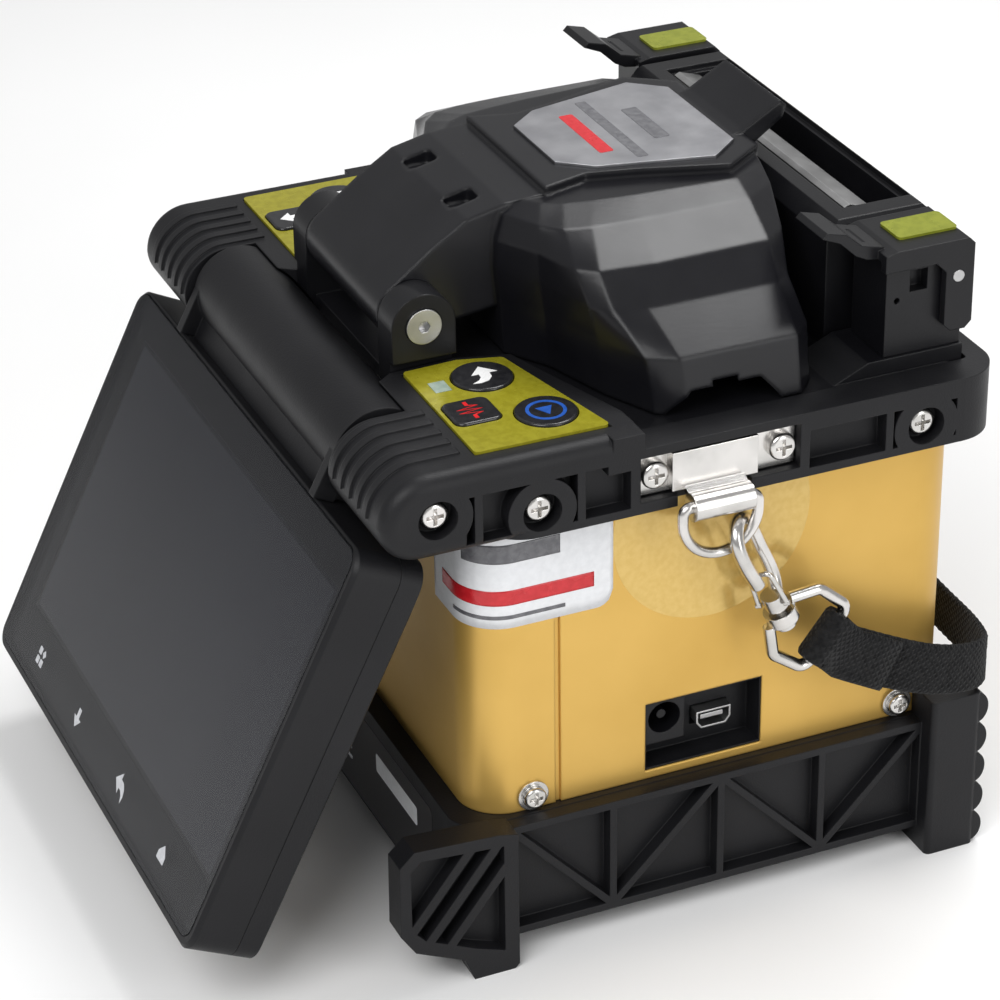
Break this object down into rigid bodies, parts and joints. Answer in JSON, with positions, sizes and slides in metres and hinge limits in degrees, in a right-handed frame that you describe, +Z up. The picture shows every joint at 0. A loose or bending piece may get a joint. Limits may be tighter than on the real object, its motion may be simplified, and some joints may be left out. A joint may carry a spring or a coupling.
{
  "type": "fiber fusion splicer",
  "caption": "boxy optical fibre fusion splicer: hinged domed cover over the splicing stage, tilting touch monitor, tube heater behind, bumpered base tray, side-hung carry strap",
  "frame": {"origin": "middle of the base tray foot plane", "axes": "front of the object (monitor side) faces -Y, +X is the side with the power and data sockets, +Z up"},
  "size_m": [0.1506, 0.1754, 0.1464],
  "materials": {
    "badge": "satin silver",
    "black_plastic": "fine textured",
    "black_satin": "semi-gloss",
    "board": "circuit board",
    "cell": "wrapped cells",
    "ceramic": "ceramic white",
    "display": "dark panel",
    "gold_shell": "satin anodised gold",
    "key_black": "gloss",
    "lid_label": "printed overlay",
    "nickel": "nickel plated",
    "overlay": "printed overlay",
    "screen_glass": "polished",
    "steel": "satin",
    "webbing": "woven webbing",
    "window": "translucent window"
  },
  "bodies": {
    "splicer": {"base_tray": "black_plastic", "body_front_shell": "gold_shell", "body_rear_shell": "gold_shell", "port_insert": "black_plastic", "dc_jack": "black_satin", "usb_socket": "steel", "upper_frame": "black_plastic", "key_panel_right": "overlay", "key_panel_left": "overlay", "sensor_windows": "window", "top_deck": "black_satin", "hood_pivot_screws": "steel", "stage_plate": "steel", "v_groove_blocks": "ceramic", "electrode_holders": "ceramic", "electrodes": "steel", "objective_tubes": "steel", "heater_housing": "black_satin", "heater_bar": "steel", "heater_clamp_blocks": "black_satin", "heater_lid_pins": "steel", "frame_screws": "nickel", "body_screws": "nickel", "strap_brackets": "nickel", "bracket_screws": "nickel", "strap": "webbing", "main_board": "board", "battery_pack": "cell", "arc_transformer": "black_satin"},
    "hood": {"hood_shell": "black_satin", "hood_badge": "badge", "hood_lamps": "board"},
    "monitor": {"monitor_bezel": "black_plastic", "monitor_glass": "screen_glass", "monitor_display": "display", "monitor_rear_case": "black_plastic", "monitor_barrel": "black_plastic", "monitor_shaft": "steel"},
    "button_back": {"key_back": "key_black"},
    "button_heat": {"key_heat": "key_black"},
    "button_splice": {"key_splice": "key_black"},
    "button_power": {"key_power": "key_black"},
    "button_down": {"key_down": "key_black"},
    "button_menu": {"key_menu": "key_black"},
    "heater_cover_left": {"heater_lid_left": "black_satin", "heater_lid_label_left": "lid_label"},
    "carrier_left": {"fibre_carrier_left": "steel"},
    "clamp_left": {"sheath_clamp_left": "black_satin"},
    "ring_left": {"d_ring_left": "nickel"},
    "hook_left": {"snap_hook_left": "nickel"},
    "gate_left": {"hook_gate_left": "nickel"},
    "loop_left": {"swivel_left": "nickel"},
    "heater_cover_right": {"heater_lid_right": "black_satin", "heater_lid_label_right": "lid_label"},
    "carrier_right": {"fibre_carrier_right": "steel"},
    "clamp_right": {"sheath_clamp_right": "black_satin"},
    "ring_right": {"d_ring_right": "nickel"},
    "hook_right": {"snap_hook_right": "nickel"},
    "gate_right": {"hook_gate_right": "nickel"},
    "loop_right": {"swivel_right": "nickel"}
  },
  "joints": [
    {"name": "hood_hinge", "type": "hinge", "parent": "splicer", "child": "hood", "pos_m": [0, -0.0463, 0.1205], "axis": [1, 0, 0], "range_deg": [0, 90]},
    {"name": "monitor_tilt", "type": "hinge", "parent": "splicer", "child": "monitor", "pos_m": [0, -0.061, 0.1029], "axis": [-1, 0, 0], "range_deg": [-22, 112]},
    {"name": "press_back", "type": "slide", "parent": "splicer", "child": "button_back", "axis": [0, 0, -1], "range_m": [0, 0.0004], "stiffness_N_per_m": 800, "springref_m": -0.0002},
    {"name": "press_heat", "type": "slide", "parent": "splicer", "child": "button_heat", "axis": [0, 0, -1], "range_m": [0, 0.0004], "stiffness_N_per_m": 800, "springref_m": -0.0002},
    {"name": "press_splice", "type": "slide", "parent": "splicer", "child": "button_splice", "axis": [0, 0, -1], "range_m": [0, 0.0004], "stiffness_N_per_m": 800, "springref_m": -0.0002},
    {"name": "press_power", "type": "slide", "parent": "splicer", "child": "button_power", "axis": [0, 0, -1], "range_m": [0, 0.0004], "stiffness_N_per_m": 800, "springref_m": -0.0002},
    {"name": "press_down", "type": "slide", "parent": "splicer", "child": "button_down", "axis": [0, 0, -1], "range_m": [0, 0.0004], "stiffness_N_per_m": 800, "springref_m": -0.0002},
    {"name": "press_menu", "type": "slide", "parent": "splicer", "child": "button_menu", "axis": [0, 0, -1], "range_m": [0, 0.0004], "stiffness_N_per_m": 800, "springref_m": -0.0002},
    {"name": "heater_lid_left_hinge", "type": "hinge", "parent": "splicer", "child": "heater_cover_left", "pos_m": [-0.0538, 0.0493, 0.127], "axis": [-1, 0, 0], "range_deg": [0, 80]},
    {"name": "carrier_left_slide", "type": "slide", "parent": "splicer", "child": "carrier_left", "axis": [1, 0, 0], "range_m": [0, 0.0015]},
    {"name": "clamp_left_hinge", "type": "hinge", "parent": "carrier_left", "child": "clamp_left", "pos_m": [-0.0265, 0.0072, 0.1148], "axis": [-1, 0, 0], "range_deg": [0, 40]},
    {"name": "ring_left_swing", "type": "hinge", "parent": "splicer", "child": "ring_left", "pos_m": [-0.0706, -0.005, 0.0952], "axis": [0, 1, 0], "range_deg": [-2, 2]},
    {"name": "hook_left_swing", "type": "hinge", "parent": "ring_left", "child": "hook_left", "pos_m": [-0.0706, 0.00008, 0.08615], "axis": [1, 0, 0], "range_deg": [-3, 3]},
    {"name": "heater_lid_right_hinge", "type": "hinge", "parent": "splicer", "child": "heater_cover_right", "pos_m": [0.0538, 0.0493, 0.127], "axis": [-1, 0, 0], "range_deg": [0, 80]},
    {"name": "carrier_right_slide", "type": "slide", "parent": "splicer", "child": "carrier_right", "axis": [-1, 0, 0], "range_m": [0, 0.0015]},
    {"name": "clamp_right_hinge", "type": "hinge", "parent": "carrier_right", "child": "clamp_right", "pos_m": [0.0265, 0.0072, 0.1148], "axis": [-1, 0, 0], "range_deg": [0, 40]},
    {"name": "ring_right_swing", "type": "hinge", "parent": "splicer", "child": "ring_right", "pos_m": [0.0706, -0.005, 0.0952], "axis": [0, 1, 0], "range_deg": [-2, 2]},
    {"name": "hook_right_swing", "type": "hinge", "parent": "ring_right", "child": "hook_right", "pos_m": [0.0706, 0.00008, 0.08615], "axis": [1, 0, 0], "range_deg": [-3, 3]},
    {"name": "gate_left_spring", "type": "hinge", "parent": "hook_left", "child": "gate_left", "pos_m": [-0.07165, 0.00602, 0.07051], "axis": [-0.6616, 0.685, 0.305], "range_deg": [0, 18], "stiffness_Nm_per_rad": 0.01, "springref_deg": -5.73},
    {"name": "swivel_left_turn", "type": "hinge", "parent": "hook_left", "child": "loop_left", "pos_m": [-0.0706, 0.0085, 0.06724], "axis": [0, 0.4068, -0.9135], "range_deg": [-4, 4]},
    {"name": "gate_right_spring", "type": "hinge", "parent": "hook_right", "child": "gate_right", "pos_m": [0.07165, 0.00602, 0.07051], "axis": [-0.6616, -0.685, -0.305], "range_deg": [0, 18], "stiffness_Nm_per_rad": 0.01, "springref_deg": -5.73},
    {"name": "swivel_right_turn", "type": "hinge", "parent": "hook_right", "child": "loop_right", "pos_m": [0.0706, 0.0085, 0.06724], "axis": [0, 0.4068, -0.9135], "range_deg": [-4, 4]}
  ]
}
